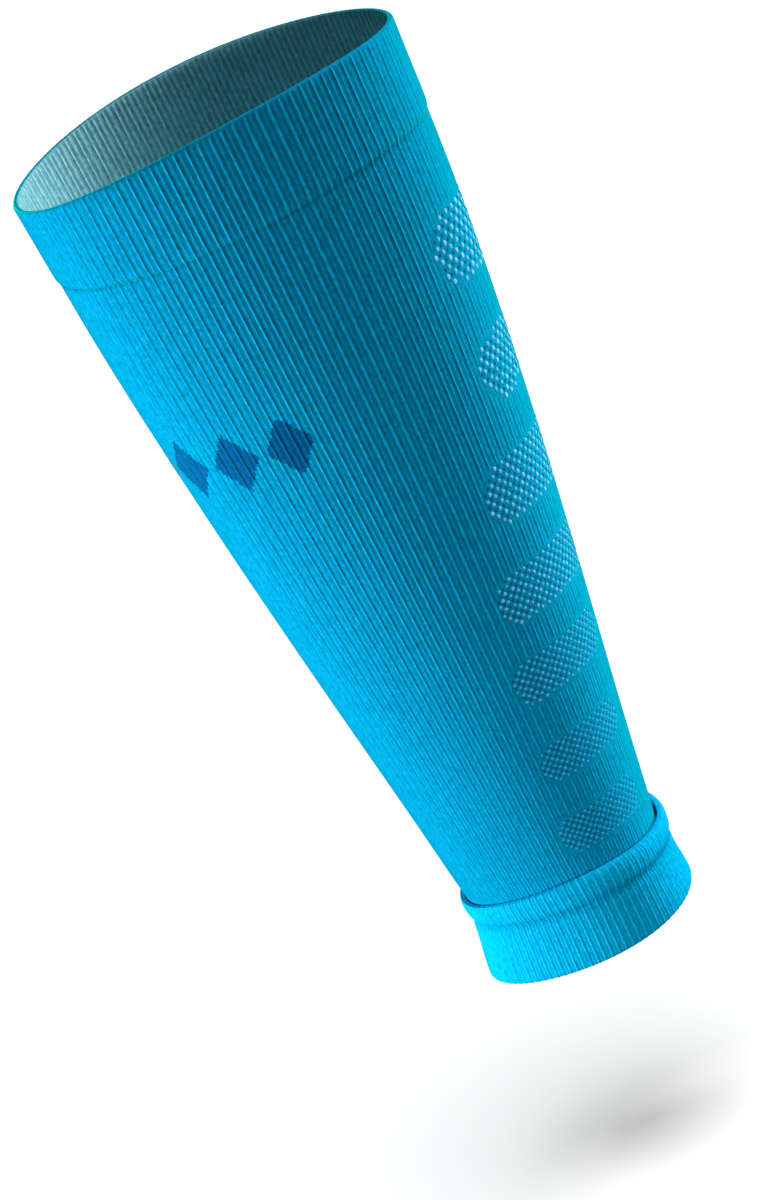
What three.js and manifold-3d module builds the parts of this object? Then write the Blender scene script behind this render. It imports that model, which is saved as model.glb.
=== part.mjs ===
// A calf compression sleeve: a rib-knit tube with a doubled top band, an ankle cuff that is
// turned up outside it, and seven open-knit vents let into its wall behind the calf.
// Millimetres. +Z runs up the leg and the origin is the centre of the ankle opening. The calf is
// at +X, the shin at -X, and the vents show from -Y. The sleeve keeps the form of the leg.
import * as THREE from 'three';
import { mergeVertices } from 'three/addons/utils/BufferGeometryUtils.js';
import Module from 'manifold-3d';

// Overall form
const LENGTH = 310;
const TOP_WIDTH = 131;
const TOP_DEPTH = 80;
const ANKLE_WIDTH = 67.2;
const ANKLE_DEPTH = 59;

// Knitted wall
const WALL = 1.2;
const RIB_COUNT = 84;
const RIB_DEPTH = 0.4;
const SEAM_GAP = 0.3;

// Doubled band round the top
const BAND_HEIGHT = 30;
const BAND_WALL = 2.2;
const BAND_PROUD = 0.4;
const RIM_CROWN = 4.6;
const RIM_TILT = 3.3;

// Ankle cuff, turned up outside the tube
const CUFF_HEIGHT = 31;
const CUFF_WALL = 1.6;
const CUFF_GAP = 0.6;
const CUFF_LEG = 6;
const LIP_FLARE = 1.6;
const LIP_TILT = 2;
const HEM_RIDGE = 0.5;

// Open-knit vents
const VENT_HEIGHT = 26;
const VENT_WALL = 0.8;
const VENT_CLEARANCE = 0.3;

// The leg's form, a row for each height. rise is a share of LENGTH. width and depth run from 0,
// the ankle's size, to 1, the top's. lean is the shift towards the calf, a share of TOP_WIDTH.
// fullness is how far the section fills out towards the shin.
const FORM = [
  { rise: 0.00, width: 0.06, depth: -0.03, lean: 0.000, fullness: -0.18 },
  { rise: 0.07, width: 0.00, depth: 0.01, lean: 0.004, fullness: -0.15 },
  { rise: 0.12, width: 0.06, depth: 0.10, lean: 0.004, fullness: -0.08 },
  { rise: 0.20, width: 0.16, depth: 0.24, lean: 0.004, fullness: -0.03 },
  { rise: 0.40, width: 0.43, depth: 0.52, lean: 0.005, fullness: 0.02 },
  { rise: 0.60, width: 0.68, depth: 0.79, lean: 0.006, fullness: 0.06 },
  { rise: 0.80, width: 0.88, depth: 0.95, lean: 0.005, fullness: 0.10 },
  { rise: 1.00, width: 1.00, depth: 1.00, lean: 0.002, fullness: 0.12 },
];

// The vents from the top down. rise is the middle's height, a share of LENGTH, and height a share
// of VENT_HEIGHT. rear and front are where a vent starts and ends, as shares of the girth from the
// back of the calf round towards -Y.
const VENTS = [
  { rise: 0.774, height: 1.00, rear: -0.085, front: 0.097 },
  { rise: 0.640, height: 0.83, rear: -0.080, front: 0.099 },
  { rise: 0.522, height: 0.79, rear: -0.035, front: 0.154 },
  { rise: 0.415, height: 0.69, rear: 0.000, front: 0.187 },
  { rise: 0.326, height: 0.62, rear: 0.035, front: 0.212 },
  { rise: 0.232, height: 0.56, rear: 0.060, front: 0.223 },
  { rise: 0.147, height: 0.56, rear: 0.080, front: 0.247 },
];

// The cuff's outer face, from the lip down to the fold. rise is a share of CUFF_HEIGHT, flare of
// LIP_FLARE and ridge of HEM_RIDGE.
const CUFF_FACE = [
  { rise: 0.97, flare: 1.0, ridge: 0.4 },
  { rise: 0.90, flare: 1.0, ridge: 1.0 },
  { rise: 0.79, flare: 0.9, ridge: -0.5 },
  { rise: 0.52, flare: 0.4, ridge: 0.0 },
  { rise: 0.16, flare: 0.1, ridge: 0.2 },
];

// The inner face of the cuff's turned-up wall, from the fold up.
const CUFF_INSIDE = [
  { rise: 0.50, flare: 0.4 },
  { rise: 0.90, flare: 1.0 },
];

// The lip stands off this much less at the calf and shin, and its edge is narrowed on each face
// by this share of CUFF_WALL.
const SIDE_FLARE = 0.25;
const LIP_ROUNDING = 0.25;

// How finely curves are stepped
const GIRTH_STEPS = 360;
const PLAIN_COLUMNS = 52;
const ROUND_STEPS = 4;
const VENT_ARC_STEPS = 4;
const VENT_STRAIGHT_STEPS = 3;
const VENT_ROWS = 2;
const CUTTER_REACH = 4;

const KNIT_BLUE = { color: 0x0a86b4, roughness: 0.85, metalness: 0 };
const BAND_BLUE = { color: 0x0c8cba, roughness: 0.85, metalness: 0 };
const VENT_BLUE = { color: 0x6fb2c8, roughness: 0.8, metalness: 0 };

const formCurve = new THREE.CubicInterpolant(
  FORM.map((row) => row.rise),
  FORM.flatMap((row) => [row.width, row.depth, row.lean, row.fullness]),
  4,
);

// The section at a height: its half sizes, shift and fullness.
function sectionAt(height) {
  const rise = THREE.MathUtils.clamp(height / LENGTH, 0, 1);
  const [width, depth, lean, fullness] = formCurve.evaluate(rise);
  return {
    halfWidth: THREE.MathUtils.lerp(ANKLE_WIDTH, TOP_WIDTH, width) / 2,
    halfDepth: THREE.MathUtils.lerp(ANKLE_DEPTH, TOP_DEPTH, depth) / 2,
    shift: lean * TOP_WIDTH,
    fullness,
  };
}

// A point of a section, standing out by side at the calf and shin and by front between them.
function sectionPoint(section, angle, side, front) {
  const cosine = Math.cos(angle);
  const fill = 1 - section.fullness * cosine;
  const x = section.shift + (section.halfWidth + side) * cosine;
  const y = -(section.halfDepth + front) * Math.sin(angle) * fill;
  return new THREE.Vector2(x, y);
}

// The length round a section up to each of GIRTH_STEPS even angles.
function girthTable(section) {
  const lengths = [0];
  let before = sectionPoint(section, 0, 0, 0);
  for (let step = 1; step <= GIRTH_STEPS; step += 1) {
    const next = sectionPoint(section, (step / GIRTH_STEPS) * 2 * Math.PI, 0, 0);
    lengths.push(lengths[step - 1] + next.distanceTo(before));
    before = next;
  }
  return lengths;
}

// The angle at which a share of the girth is reached, so that the ribs stand at an even pitch.
function angleAt(lengths, share) {
  const turns = Math.floor(share);
  const wanted = (share - turns) * lengths[GIRTH_STEPS];
  const after = Math.max(1, lengths.findIndex((length) => length >= wanted));
  const part = (wanted - lengths[after - 1]) / (lengths[after] - lengths[after - 1]);
  return (turns + (after - 1 + part) / GIRTH_STEPS) * 2 * Math.PI;
}

// One ring of points round the leg. A ribbed ring has a crest and a valley for each rib. rim is
// how much of the top rim's crown and tilt it takes, and lip how much of the cuff lip's tilt.
function ring({ height, side, front = side, ribbed = false, rim = 0, lip = 0 }) {
  const section = sectionAt(height);
  const lengths = girthTable(section);
  const count = ribbed ? 2 * RIB_COUNT : PLAIN_COLUMNS;
  const tilt = (rim * RIM_TILT + lip * LIP_TILT) / 2;
  return Array.from({ length: count }, (_, index) => {
    const angle = angleAt(lengths, index / count);
    const valley = index % 2 === 1 && ribbed ? RIB_DEPTH : 0;
    const flat = sectionPoint(section, angle, side - valley, front - valley);
    const crown = rim * RIM_CROWN * Math.sin(angle) ** 2;
    return new THREE.Vector3(flat.x, flat.y, height + crown + tilt * Math.cos(angle));
  });
}

// Triangles between two closed loops of vertex numbers, which may differ in count.
function bridge(first, second) {
  const triangles = [];
  let i = 0;
  let j = 0;
  while (i < first.length || j < second.length) {
    const a = first[i % first.length];
    const b = second[j % second.length];
    if ((i + 1) / first.length <= (j + 1) / second.length) {
      i += 1;
      triangles.push([a, first[i % first.length], b]);
    } else {
      j += 1;
      triangles.push([a, second[j % second.length], b]);
    }
  }
  return triangles;
}

// A geometry of points and triangles, with meeting points joined and flat triangles dropped.
function weld(points, triangles) {
  const loose = new THREE.BufferGeometry().setFromPoints(points);
  loose.setIndex(triangles.flat());
  const joined = mergeVertices(loose, 1e-4);
  const index = joined.getIndex().array;
  const kept = [];
  for (let k = 0; k < index.length; k += 3) {
    const [a, b, c] = [index[k], index[k + 1], index[k + 2]];
    if (a !== b && b !== c && c !== a) {
      kept.push(a, b, c);
    }
  }
  joined.setIndex(kept);
  return joined;
}

// A body skinned over loops of points: a hollow ring where the last loop meets the first again,
// and otherwise a bar whose end loops have shrunk to an edge.
function skin(loops, closesOnItself) {
  const starts = [];
  const points = [];
  for (const loop of loops) {
    starts.push(points.length);
    points.push(...loop);
  }
  const numbered = loops.map((loop, k) => loop.map((_, index) => starts[k] + index));
  const pairs = closesOnItself ? loops.length : loops.length - 1;
  const triangles = [];
  for (let k = 0; k < pairs; k += 1) {
    triangles.push(...bridge(numbered[k], numbered[(k + 1) % loops.length]));
  }
  return weld(points, triangles);
}

// The folded rim of the band, from its outer face over to its inner face.
function bandRim(outer, inner) {
  const radius = (outer - inner) / 2;
  const middle = (outer + inner) / 2;
  return Array.from({ length: ROUND_STEPS - 1 }, (_, step) => {
    const angle = (Math.PI * (step + 1)) / ROUND_STEPS;
    const side = middle + radius * Math.cos(angle);
    return ring({ height: LENGTH - radius + radius * Math.sin(angle), side, rim: 1 });
  });
}

// The doubled band: a welt a little proud of the tube, folded over at the rim.
function topBand() {
  const outer = BAND_PROUD;
  const inner = BAND_PROUD - BAND_WALL;
  const bottom = LENGTH - BAND_HEIGHT;
  const shoulder = LENGTH - BAND_WALL / 2;
  const loops = [
    ring({ height: bottom, side: outer - RIB_DEPTH, ribbed: true }),
    ring({ height: bottom + BAND_WALL / 2, side: outer, ribbed: true }),
    ring({ height: shoulder, side: outer, ribbed: true, rim: 1 }),
    ...bandRim(outer, inner),
    ring({ height: shoulder, side: inner, rim: 1 }),
    ring({ height: bottom, side: inner }),
  ];
  return skin(loops.reverse(), true);
}

// The tube's wall, from inside the cuff up to the band, before the vents are cut.
function plainTube() {
  const bottom = CUFF_LEG + SEAM_GAP;
  const top = LENGTH - BAND_HEIGHT - SEAM_GAP;
  const between = FORM.map((row) => row.rise * LENGTH).filter((z) => z > bottom && z < top);
  const heights = [bottom, ...between, top];
  const outside = heights.map((height) => ring({ height, side: 0, ribbed: true }));
  const inside = heights.map((height) => ring({ height, side: -WALL })).reverse();
  return skin([...outside, ...inside].reverse(), true);
}

// One ring of the cuff's turned-up wall. through is 0 on its inner face and 1 on its outer face.
function cuffRing({ rise, flare, ridge = 0 }, through, ribbed = false) {
  const wall = CUFF_GAP + through * CUFF_WALL + ridge * HEM_RIDGE;
  const front = wall + flare * LIP_FLARE;
  const side = wall + flare * LIP_FLARE * SIDE_FLARE;
  return ring({ height: rise * CUFF_HEIGHT, side, front, ribbed, lip: rise });
}

// The fold at the ankle, from the cuff's outer face round to the tube's inner face.
function cuffFold(radius) {
  const middle = CUFF_GAP + CUFF_WALL - radius;
  return Array.from({ length: ROUND_STEPS }, (_, step) => {
    const angle = (Math.PI * (step + 1)) / ROUND_STEPS;
    return ring({ height: radius * (1 - Math.sin(angle)), side: middle + radius * Math.cos(angle) });
  });
}

// The cuff, a J in section: its free lip, its outer face, the fold at the ankle and a short leg
// inside that carries on the tube's wall.
function ankleCuff() {
  const lip = { rise: 1, flare: 1 };
  const radius = (CUFF_GAP + CUFF_WALL + WALL) / 2;
  const loops = [
    cuffRing(lip, 1 - LIP_ROUNDING),
    ...CUFF_FACE.map((row) => cuffRing(row, 1, true)),
    ...cuffFold(radius),
    ring({ height: CUFF_LEG, side: -WALL }),
    ring({ height: CUFF_LEG, side: 0 }),
    ring({ height: radius, side: 0 }),
    ring({ height: radius, side: CUFF_GAP }),
    ...CUFF_INSIDE.map((row) => cuffRing(row, 0)),
    cuffRing(lip, LIP_ROUNDING),
  ];
  return skin(loops, true);
}

// A capsule that wraps round the leg, between two stand-offs from the tube's outer face. It
// serves as a vent's panel, and without clearance as the cutter of the hole for it.
function ventBody({ rise, height, rear, front }, clearance, inner, outer) {
  const middle = rise * LENGTH;
  const girth = girthTable(sectionAt(middle))[GIRTH_STEPS];
  const radius = (height * VENT_HEIGHT) / 2 - clearance;
  const start = rear * girth + clearance;
  const end = front * girth - clearance;
  const stations = [];
  for (let step = 0; step <= VENT_ARC_STEPS; step += 1) {
    const angle = (step / VENT_ARC_STEPS) * (Math.PI / 2);
    stations.push([radius * (1 - Math.cos(angle)), radius * Math.sin(angle)]);
  }
  const ends = stations.map(([inset, half]) => [end - start - inset, half]).reverse();
  const straight = end - start - 2 * radius;
  for (let step = 1; step < VENT_STRAIGHT_STEPS; step += 1) {
    stations.push([radius + (straight * step) / VENT_STRAIGHT_STEPS, radius]);
  }
  const loops = [...stations, ...ends].map(([along, half]) => {
    const share = (start + along) / girth;
    const rows = Array.from({ length: VENT_ROWS + 1 }, (_, row) => (2 * row) / VENT_ROWS - 1);
    const edge = (offset) => rows.map((row) => {
      const z = middle + row * half;
      const section = sectionAt(z);
      const angle = angleAt(girthTable(section), share);
      const flat = sectionPoint(section, angle, offset, offset);
      return new THREE.Vector3(flat.x, flat.y, z);
    });
    return [...edge(outer), ...edge(inner).reverse()];
  });
  return skin(loops, false);
}

const wasm = await Module();
wasm.setup();

// A closed geometry as a solid that can be cut.
function toSolid(geometry) {
  const vertProperties = new Float32Array(geometry.getAttribute('position').array);
  const triVerts = new Uint32Array(geometry.getIndex().array);
  return new wasm.Manifold(new wasm.Mesh({ numProp: 3, vertProperties, triVerts }));
}

// A cut solid as a geometry again.
function toGeometry(solid) {
  const mesh = solid.getMesh();
  const geometry = new THREE.BufferGeometry();
  geometry.setAttribute('position', new THREE.BufferAttribute(mesh.vertProperties, 3));
  geometry.setIndex(new THREE.BufferAttribute(mesh.triVerts, 1));
  return geometry;
}

// The tube with a hole through its wall for each vent.
function calfTube() {
  return toGeometry(VENTS.reduce((tube, vent) => {
    const cutter = ventBody(vent, 0, -WALL - CUTTER_REACH, CUTTER_REACH);
    return tube.subtract(toSolid(cutter));
  }, toSolid(plainTube())));
}

// A vent's panel, set back a little between the tube's faces.
function ventPanel(vent) {
  const outer = -RIB_DEPTH;
  return ventBody(vent, VENT_CLEARANCE, outer - VENT_WALL, outer);
}

// A named piece of the sleeve.
function piece(name, geometry, finish) {
  geometry.computeVertexNormals();
  const mesh = new THREE.Mesh(geometry, new THREE.MeshStandardMaterial(finish));
  mesh.name = name;
  return mesh;
}

const sleeve = new THREE.Group();
sleeve.name = 'calf_compression_sleeve';
sleeve.add(piece('top_band', topBand(), BAND_BLUE));
sleeve.add(piece('calf_tube', calfTube(), KNIT_BLUE));
sleeve.add(piece('ankle_cuff', ankleCuff(), BAND_BLUE));
VENTS.forEach((vent, index) => {
  sleeve.add(piece(`mesh_zone_${index + 1}`, ventPanel(vent), VENT_BLUE));
});

export default sleeve;
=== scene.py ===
"""A calf compression sleeve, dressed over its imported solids.

The sleeve stands on +Z up the leg, with the calf at +X, the shin at -X and the vents showing from
-Y. Lengths are in metres. A place on the cloth is a share of the girth, counted from the back of
the calf round towards -Y, and a height up the leg.
"""

import logging
import math
from dataclasses import dataclass, field
from enum import Enum

import bpy
import numpy as np
from mathutils import Matrix, Vector


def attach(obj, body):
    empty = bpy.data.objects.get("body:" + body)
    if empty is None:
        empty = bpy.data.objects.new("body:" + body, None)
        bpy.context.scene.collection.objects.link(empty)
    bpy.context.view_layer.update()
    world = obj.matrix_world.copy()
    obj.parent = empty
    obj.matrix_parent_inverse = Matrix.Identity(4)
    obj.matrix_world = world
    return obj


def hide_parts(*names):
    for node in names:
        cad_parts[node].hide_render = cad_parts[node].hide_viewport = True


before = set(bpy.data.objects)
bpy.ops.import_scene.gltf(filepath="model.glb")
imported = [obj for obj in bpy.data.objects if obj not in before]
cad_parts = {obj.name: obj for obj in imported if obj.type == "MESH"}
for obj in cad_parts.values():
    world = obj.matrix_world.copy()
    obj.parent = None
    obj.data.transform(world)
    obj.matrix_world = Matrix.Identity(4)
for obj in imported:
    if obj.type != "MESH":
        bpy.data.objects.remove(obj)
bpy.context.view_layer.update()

log = logging.getLogger("sleeve")

Array = np.ndarray
Colour = tuple[float, float, float]
Material = bpy.types.Material
Shape = bpy.types.Object
Socket = bpy.types.NodeSocket
UV_NAME = "UVMap"
HIDDEN_SHIFT = 4.0
BODY = "root"
MM = 0.001
WHITE = (1.0, 1.0, 1.0, 1.0)


class Face(Enum):
    """Which way a stretch of knitted wall looks."""

    OUT = 0.0
    IN = 1.0


class KnitSlot(Enum):
    """Names for the knits' material slots."""

    BAND = "band_knit"
    RIB = "rib_knit"
    CUFF = "cuff_knit"
    VENT = "vent_knit"


@dataclass(frozen=True)
class Station:
    """A section of the leg's form.

    rise is a share of the length. width and depth run from 0 at the ankle to 1 at the top, lean is
    a share of the top's width, and fullness is how far the section fills out towards the shin.
    """

    rise: float
    width: float
    depth: float
    lean: float
    fullness: float


@dataclass(frozen=True)
class Vent:
    """An open-knit vent, a capsule that wraps round the leg at one height.

    rise is a share of the length and height of the tallest vent's. rear and front are shares of
    the girth, pitch is how far apart the stitches stand along a wale, and paleness is how pale
    and plump they are, up to 1.
    """

    rise: float
    height: float
    rear: float
    front: float
    pitch: float
    paleness: float


VENTS = (
    Vent(0.774, 1.00, -0.085, 0.097, 5.0 * MM, 1.00),
    Vent(0.640, 0.83, -0.080, 0.099, 4.6 * MM, 0.95),
    Vent(0.522, 0.79, -0.035, 0.154, 4.1 * MM, 0.85),
    Vent(0.415, 0.69, 0.000, 0.187, 3.4 * MM, 0.72),
    Vent(0.326, 0.62, 0.035, 0.212, 3.0 * MM, 0.50),
    Vent(0.232, 0.56, 0.060, 0.223, 2.7 * MM, 0.36),
    Vent(0.147, 0.56, 0.080, 0.247, 2.6 * MM, 0.30),
)


def smooth_curve(knots: Array, values: Array, wanted: Array) -> Array:
    """Runs a smooth curve through values, with each slope the mean of its two neighbours'.

    Args:
        knots: Rising places of the known values.
        values: The values there, a row for each knot.
        wanted: The places to read.

    Returns:
        The values at the wanted places, with the columns of values last.
    """
    knots, values = np.asarray(knots, float), np.asarray(values, float)
    wanted = np.clip(wanted, knots[0], knots[-1])
    secants = np.diff(values, axis=0) / np.diff(knots)[:, None]
    slopes = np.vstack([secants[:1], (secants[:-1] + secants[1:]) / 2, secants[-1:]])
    low = np.clip(np.searchsorted(knots, wanted, side="right") - 1, 0, len(knots) - 2)
    span = (knots[low + 1] - knots[low])[..., None]
    part = (wanted - knots[low])[..., None] / span
    return (
        (2 * part**3 - 3 * part**2 + 1) * values[low]
        + (part**3 - 2 * part**2 + part) * span * slopes[low]
        + (3 * part**2 - 2 * part**3) * values[low + 1]
        + (part**3 - part**2) * span * slopes[low + 1]
    )


def smoothstep(value: Array, start: float, end: float) -> Array:
    """Rises smoothly from 0 at start to 1 at end."""
    part = np.clip((value - start) / (end - start), 0, 1)
    return part * part * (3 - 2 * part)


@dataclass
class LegForm:
    """The form that the leg gives the sleeve, and the way from a place on the cloth to space."""

    length: float = 310 * MM
    top_width: float = 131 * MM
    top_depth: float = 80 * MM
    ankle_width: float = 67.2 * MM
    ankle_depth: float = 59 * MM
    rim_crown: float = 4.6 * MM
    rim_tilt: float = 3.3 * MM
    lip_crown: float = 3.2 * MM
    lip_tilt: float = 0.4 * MM
    fold_tilt: float = 4.4 * MM
    levels: int = 125
    steps: int = 720
    stations: tuple[Station, ...] = (
        Station(0.00, 0.06, -0.03, 0.000, -0.18),
        Station(0.07, 0.00, 0.01, 0.004, -0.15),
        Station(0.12, 0.06, 0.10, 0.004, -0.08),
        Station(0.20, 0.16, 0.24, 0.004, -0.03),
        Station(0.40, 0.43, 0.52, 0.005, 0.02),
        Station(0.60, 0.68, 0.79, 0.006, 0.06),
        Station(0.80, 0.88, 0.95, 0.005, 0.10),
        Station(1.00, 1.00, 1.00, 0.002, 0.12),
    )
    angles: Array = field(init=False)
    girths: Array = field(init=False)

    def __post_init__(self) -> None:
        """Finds, for each level, the angle at which each share of the girth is reached."""
        turn = np.linspace(0, 2 * math.pi, self.steps + 1)
        shares = np.linspace(0, 1, self.steps + 1)
        heights = np.linspace(0, self.length, self.levels)
        self.angles = np.empty((self.levels, self.steps + 1))
        self.girths = np.empty(self.levels)
        for level, height in enumerate(heights):
            points = np.stack(self.section_point(np.full_like(turn, height), turn, 0.0, 0.0, 0.0), -1)
            pieces = np.linalg.norm(np.diff(points, axis=0), axis=1)
            run = np.concatenate([[0.0], np.cumsum(pieces)])
            self.girths[level] = run[-1]
            self.angles[level] = np.interp(shares * run[-1], run, turn)

    def section(self, height: Array) -> tuple[Array, Array, Array, Array]:
        """Reads the section at a height.

        Args:
            height: Heights up the leg.

        Returns:
            Half the width, half the depth, the shift towards the calf and the fullness.
        """
        table = [(s.width, s.depth, s.lean, s.fullness) for s in self.stations]
        read = smooth_curve([s.rise for s in self.stations], table, np.asarray(height) / self.length)
        half_width = (self.ankle_width + (self.top_width - self.ankle_width) * read[..., 0]) / 2
        half_depth = (self.ankle_depth + (self.top_depth - self.ankle_depth) * read[..., 1]) / 2
        return half_width, half_depth, read[..., 2] * self.top_width, read[..., 3]

    def section_point(
        self, height: Array, angle: Array, side: float | Array, front: float | Array, skew: float | Array
    ) -> tuple[Array, Array]:
        """Finds x and y at an angle.

        Args:
            height: Heights up the leg.
            angle: Angles round it, from the back of the calf towards -Y.
            side: How far the point stands off at the calf and the shin.
            front: How far it stands off between those.
            skew: How much further it stands off at the calf, and less at the shin.

        Returns:
            The points' x and y.
        """
        half_width, half_depth, shift, fullness = self.section(height)
        more = skew * np.cos(angle)
        fill = 1 - fullness * np.cos(angle)
        x = shift + (half_width + side + more) * np.cos(angle)
        return x, -(half_depth + front + more) * np.sin(angle) * fill

    def angle_at(self, share: Array, height: Array) -> Array:
        """Reads the angle at which a share of the girth is reached at a height."""
        turns = np.floor(share)
        column = (share - turns) * self.steps
        level = np.clip(height / self.length, 0, 1) * (self.levels - 1)
        i = np.minimum(level.astype(int), self.levels - 2)
        j = np.minimum(column.astype(int), self.steps - 1)
        up, along = level - i, column - j
        below = self.angles[i, j] * (1 - along) + self.angles[i, j + 1] * along
        above = self.angles[i + 1, j] * (1 - along) + self.angles[i + 1, j + 1] * along
        return below * (1 - up) + above * up + turns * 2 * math.pi

    def girth_at(self, height: float) -> float:
        """The length round the leg at a height."""
        return float(np.interp(height, np.linspace(0, self.length, self.levels), self.girths))

    def wrap(
        self,
        share: Array,
        height: Array,
        side: float | Array,
        front: float | Array | None = None,
        rim: float | Array = 0.0,
        lip: float | Array = 0.0,
        fold: float | Array = 0.0,
        skew: float | Array = 0.0,
    ) -> Array:
        """Lays places of the cloth on the leg.

        Args:
            share: Shares of the girth.
            height: Heights up the leg.
            side: How far they stand off at the calf and the shin.
            front: How far they stand off between those, as side if it isn't given.
            rim: How much of the top rim's crown and tilt they take.
            lip: How much of the cuff lip's crown and tilt they take.
            fold: How much of the cuff fold's tilt they take.
            skew: How much further they stand off at the calf, and less at the shin.

        Returns:
            Points, with x, y and z last.
        """
        share, height = np.broadcast_arrays(np.asarray(share, float), np.asarray(height, float))
        angle = self.angle_at(share, height)
        x, y = self.section_point(height, angle, side, side if front is None else front, skew)
        crown = (rim * self.rim_crown + lip * self.lip_crown) * np.sin(angle) ** 2 - lip * self.lip_crown
        tilt = (rim * self.rim_tilt + lip * self.lip_tilt + fold * self.fold_tilt) / 2 * np.cos(angle)
        return np.stack([x, y, height + crown + tilt], -1)


@dataclass(frozen=True)
class Ring:
    """One ring of a knitted wall's section.

    side and front are its stand-offs and skew is how much more it stands off at the calf. relief
    is how much of the ribs' depth it has, and rim, lip and fold are how much of the tilts of the
    top rim, of the cuff's lip and of the cuff's fold it takes.
    """

    height: float
    side: float
    front: float | None = None
    relief: float = 1.0
    face: Face = Face.OUT
    rim: float = 0.0
    lip: float = 0.0
    fold: float = 0.0
    skew: float = 0.0


def add_object(name: str, data: bpy.types.ID) -> Shape:
    """Makes an object and links it to the scene."""
    made = bpy.data.objects.new(name, data)
    bpy.context.scene.collection.objects.link(made)
    return made


def mesh_object(name: str, points: Array, faces: Array, uvs: Array) -> Shape:
    """Makes an object of points and faces.

    Args:
        name: The object's name.
        points: The vertices, a row each.
        faces: Vertex numbers, a row for each four-sided face.
        uvs: A place on the cloth for each corner of each face.

    Returns:
        The object, linked to the scene.
    """
    mesh = bpy.data.meshes.new(name)
    mesh.from_pydata(points.tolist(), [], faces.tolist())
    mesh.uv_layers.new(name=UV_NAME).data.foreach_set("uv", uvs.astype(np.float32).ravel())
    return add_object(name, mesh)


def set_attribute(mesh: bpy.types.Mesh, name: str, values: Array) -> None:
    """Stores a number for each vertex."""
    layer = mesh.attributes.get(name) or mesh.attributes.new(name, "FLOAT", "POINT")
    layer.data.foreach_set("value", np.asarray(values, np.float32).ravel())


def get_attribute(mesh: bpy.types.Mesh, name: str) -> Array:
    """Reads the number stored for each vertex."""
    values = np.zeros(len(mesh.vertices), np.float32)
    mesh.attributes[name].data.foreach_get("value", values)
    return values


def bake(shape: Shape) -> None:
    """Turns an object with modifiers into a plain mesh."""
    graph = bpy.context.evaluated_depsgraph_get()
    baked = bpy.data.meshes.new_from_object(shape.evaluated_get(graph), depsgraph=graph)
    shape.modifiers.clear()
    old, shape.data = shape.data, baked
    bpy.data.meshes.remove(old)
    baked.name = shape.name


def smooth(shape: Shape, sharp_over: float = 60.0) -> None:
    """Shades a mesh smooth, apart from edges that turn by more than sharp_over degrees."""
    mesh = shape.data
    mesh.polygons.foreach_set("use_smooth", np.ones(len(mesh.polygons), bool))
    mesh.set_sharp_from_angle(angle=math.radians(sharp_over))


def cut(shape: Shape, cutters: list[Shape]) -> None:
    """Cuts closed bodies out of a closed body, and removes them."""
    for cutter in cutters:
        modifier = shape.modifiers.new(cutter.name, "BOOLEAN")
        modifier.operation, modifier.solver, modifier.object = "DIFFERENCE", "EXACT", cutter
    bake(shape)
    for cutter in cutters:
        mesh = cutter.data
        bpy.data.objects.remove(cutter)
        bpy.data.meshes.remove(mesh)


@dataclass(frozen=True)
class Knit:
    """The sizes that all the sleeve's knitted walls share."""

    rib_count: int = 84
    wale_count: int = 168
    rib_depth: float = 0.4 * MM
    wall: float = 1.2 * MM
    seam: float = 0.06 * MM
    seam_share: float = -0.25
    column_phases: tuple[float, ...] = (0.0, 0.05, 0.11, 0.2, 0.35, 0.5, 0.65, 0.8, 0.89, 0.95)
    edge_relief: float = 0.35
    full_relief_at: float = 0.8

    def stretch(self, shares: Array) -> Array:
        """How much of the ribs is left: less over the calf and the shin, where the cloth is tight."""
        slack = smoothstep(np.abs(np.sin(2 * np.pi * shares)), 0.0, self.full_relief_at)
        return self.edge_relief + (1 - self.edge_relief) * slack

    def columns(self) -> Array:
        """Shares of the girth for a shell's columns, closer together at each rib's crest."""
        ribs = np.arange(self.rib_count)[:, None] + np.array(self.column_phases)[None, :]
        return self.seam_share + ribs.ravel() / self.rib_count

    def shell(self, name: str, form: LegForm, rings: list[Ring]) -> Shape:
        """Skins a closed loop of rings, each of which goes round the leg.

        Args:
            name: The object's name.
            form: The leg's form.
            rings: The rings, up the outer face and down the inner one.

        Returns:
            A closed shell with its places on the cloth and the attributes that the ribs read.
        """
        shares = self.columns()
        table = np.array(
            [
                (r.height, r.side, r.side if r.front is None else r.front, r.rim, r.lip, r.fold, r.skew)
                for r in rings
            ]
        ).T
        heights, _, fronts, *_ = table
        points = form.wrap(shares[None, :], *(column[:, None] for column in table))
        count, width = points.shape[:2]
        numbers = np.arange(count * width).reshape(count, width)
        up, across = np.roll(numbers, -1, 0), np.roll(numbers, -1, 1)
        faces = np.stack([numbers, up, np.roll(up, -1, 1), across], -1).reshape(-1, 4)
        steps = np.hypot(np.diff(heights, append=heights[0]), np.diff(fronts, append=fronts[0]))
        along = heights[0] + np.concatenate([[0.0], np.cumsum(steps)])
        u = np.append(shares, shares[0] + 1)
        low_u, high_u = np.broadcast_to(u[:-1], (count, width)), np.broadcast_to(u[1:], (count, width))
        low_v = np.broadcast_to(along[:-1, None], (count, width))
        high_v = np.broadcast_to(along[1:, None], (count, width))
        corners = [(low_u, low_v), (low_u, high_v), (high_u, high_v), (high_u, low_v)]
        uvs = np.stack([np.stack(corner, -1) for corner in corners], 2)
        shell = mesh_object(name, points.reshape(-1, 3), faces, uvs)
        inner = np.array([ring.face.value for ring in rings])[:, None]
        relief = np.array([ring.relief for ring in rings])[:, None]
        set_attribute(shell.data, "relief", relief * (inner + (1 - inner) * self.stretch(shares)))
        set_attribute(shell.data, "inner", np.repeat(inner, width, 1))
        set_attribute(shell.data, "share", np.tile(shares, count))
        return shell


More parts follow.
